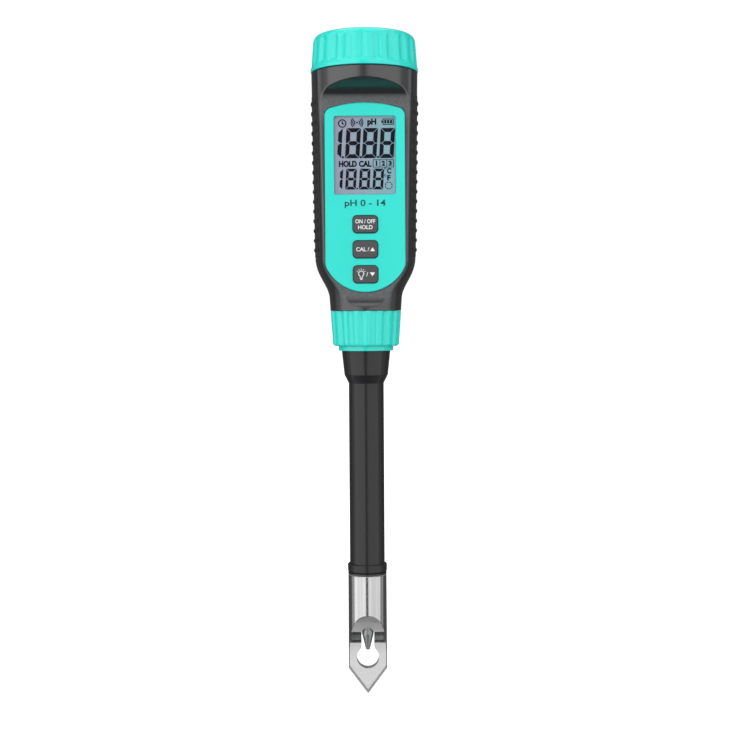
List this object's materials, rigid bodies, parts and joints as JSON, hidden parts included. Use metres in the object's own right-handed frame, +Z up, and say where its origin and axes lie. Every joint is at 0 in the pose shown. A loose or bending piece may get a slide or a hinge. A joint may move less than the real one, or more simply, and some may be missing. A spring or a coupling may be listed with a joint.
{
  "type": "ph meter",
  "caption": "Pen-type pH meter: display head with screw cap and keys, probe held by a locking collar, and a steel spear guard over a glass electrode.",
  "frame": {"origin": "the tip of the spear guard, on the pen's axis", "axes": "+Z up along the pen from the tip to the cap; the display faces -Y; +X to the right of someone reading it"},
  "size_m": [0.0402, 0.04, 0.2461],
  "materials": {
    "black_plastic": "satin moulded",
    "grip_rubber": "matt",
    "seal_rubber": "matt",
    "teal_plastic": "satin gloss moulded",
    "clear_lens": "polished",
    "display_glass": "polished",
    "white_plastic": "moulded",
    "board_green": "lacquered",
    "chip_black": "moulded",
    "screw_steel": "plated",
    "cell_wrap": "printed sleeve",
    "contact_brass": "plated",
    "key_grey": "soft moulded",
    "electrode_glass": "blown",
    "porous_white": "porous",
    "wire_sleeve": "extruded",
    "guard_steel": "polished outside, blasted on the hollowed faces"
  },
  "bodies": {
    "housing": {"housing": "black_plastic", "grip_left": "grip_rubber", "grip_right": "grip_rubber", "thread_ring": "black_plastic", "cap_seal": "seal_rubber", "panel_gasket": "seal_rubber", "face_panel": "teal_plastic", "display_window": "clear_lens", "lcd_cell": "display_glass", "contact_strips": "seal_rubber", "backlight": "white_plastic", "main_board": "board_green", "board_parts": "chip_black", "board_screws": "screw_steel", "switch_bodies": "chip_black", "battery_holder": "black_plastic", "battery_cells": "cell_wrap", "battery_springs": "screw_steel", "socket_block": "white_plastic", "socket_sleeves": "contact_brass"},
    "cap_insert": {"contact_disc": "black_plastic", "contact_bridge": "contact_brass"},
    "battery_cap": {"battery_cap": "teal_plastic"},
    "power_key": {"power_key": "key_grey", "power_plunger": "chip_black"},
    "cal_key": {"cal_key": "key_grey", "cal_plunger": "chip_black"},
    "light_key": {"light_key": "key_grey", "light_plunger": "chip_black"},
    "probe": {"probe_body": "black_plastic", "temperature_sensor": "screw_steel", "electrode_glass": "electrode_glass", "inner_electrode": "screw_steel", "reference_junction": "porous_white", "lead_wires": "wire_sleeve", "probe_plug": "black_plastic", "plug_pins": "contact_brass", "plug_seal": "seal_rubber"},
    "locking_collar": {"locking_collar": "teal_plastic"},
    "guard_washer": {"guard_washer": "seal_rubber"},
    "spear_guard": {"spear_guard": "guard_steel"}
  },
  "joints": [
    {"name": "cap_lift", "type": "slide", "parent": "housing", "child": "cap_insert", "axis": [0, 0, 1], "range_m": [0, 0.006]},
    {"name": "cap_turn", "type": "hinge", "parent": "cap_insert", "child": "battery_cap", "pos_m": [0, 0, 0.2324], "axis": [0, 0, 1], "range_deg": [0, 720]},
    {"name": "power_key_press", "type": "slide", "parent": "housing", "child": "power_key", "axis": [0, 1, 0], "range_m": [0, 0.0004], "stiffness_N_per_m": 900, "springref_m": -0.0003},
    {"name": "cal_key_press", "type": "slide", "parent": "housing", "child": "cal_key", "axis": [0, 1, 0], "range_m": [0, 0.0004], "stiffness_N_per_m": 900, "springref_m": -0.0003},
    {"name": "light_key_press", "type": "slide", "parent": "housing", "child": "light_key", "axis": [0, 1, 0], "range_m": [0, 0.0004], "stiffness_N_per_m": 900, "springref_m": -0.0003},
    {"name": "probe_pull", "type": "slide", "parent": "housing", "child": "probe", "axis": [0, 0, -1], "range_m": [0, 0.0075]},
    {"name": "collar_turn", "type": "hinge", "parent": "probe", "child": "locking_collar", "pos_m": [0, 0, 0.129], "axis": [0, 0, -1], "range_deg": [0, 1080]},
    {"name": "washer_slide", "type": "slide", "parent": "probe", "child": "guard_washer", "axis": [0, 0, -1], "range_m": [0, 0.006]},
    {"name": "guard_turn", "type": "hinge", "parent": "guard_washer", "child": "spear_guard", "pos_m": [0, 0, 0.0452], "axis": [0, 0, -1], "range_deg": [0, 1440]}
  ],
  "couplings": [
    {"joint": "cap_turn", "follows": "cap_lift", "rad_per_m": 2094.4},
    {"joint": "collar_turn", "follows": "probe_pull", "rad_per_m": 2513.3},
    {"joint": "guard_turn", "follows": "washer_slide", "rad_per_m": 4188.8}
  ]
}
